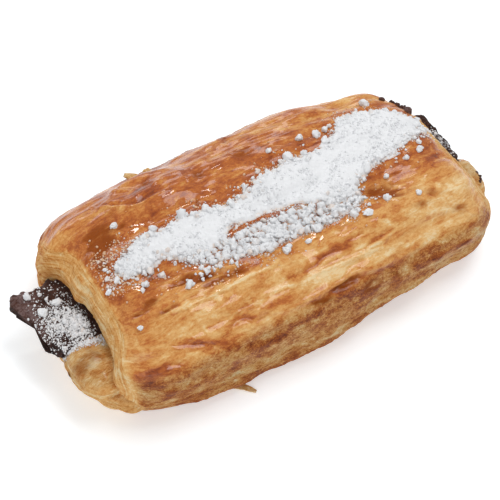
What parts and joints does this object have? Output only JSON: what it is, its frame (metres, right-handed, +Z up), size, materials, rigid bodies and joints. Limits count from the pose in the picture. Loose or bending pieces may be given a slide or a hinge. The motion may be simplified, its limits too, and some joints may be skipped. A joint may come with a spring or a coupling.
{
  "type": "pain au chocolat",
  "caption": "Pillow of laminated pastry wrapped round a flat chocolate slab that shows at both ends, glazed and dusted with a stripe of coarse icing sugar.",
  "frame": {"origin": "on the flat baked underside, below the middle of the roll", "axes": "+X along the roll towards the far end, +Y across it away from the puffed inner fold, +Z up"},
  "size_m": [0.1589, 0.0818, 0.0424],
  "materials": {
    "glazed_crust": "glossy sugar glaze over golden baked dough",
    "dark_chocolate": "dull, rough broken chocolate",
    "icing_sugar": "matt white coarse powder and clumps"
  },
  "bodies": {
    "root": {"pastry": "glazed_crust", "chocolate": "dark_chocolate"}
  },
  "joints": []
}
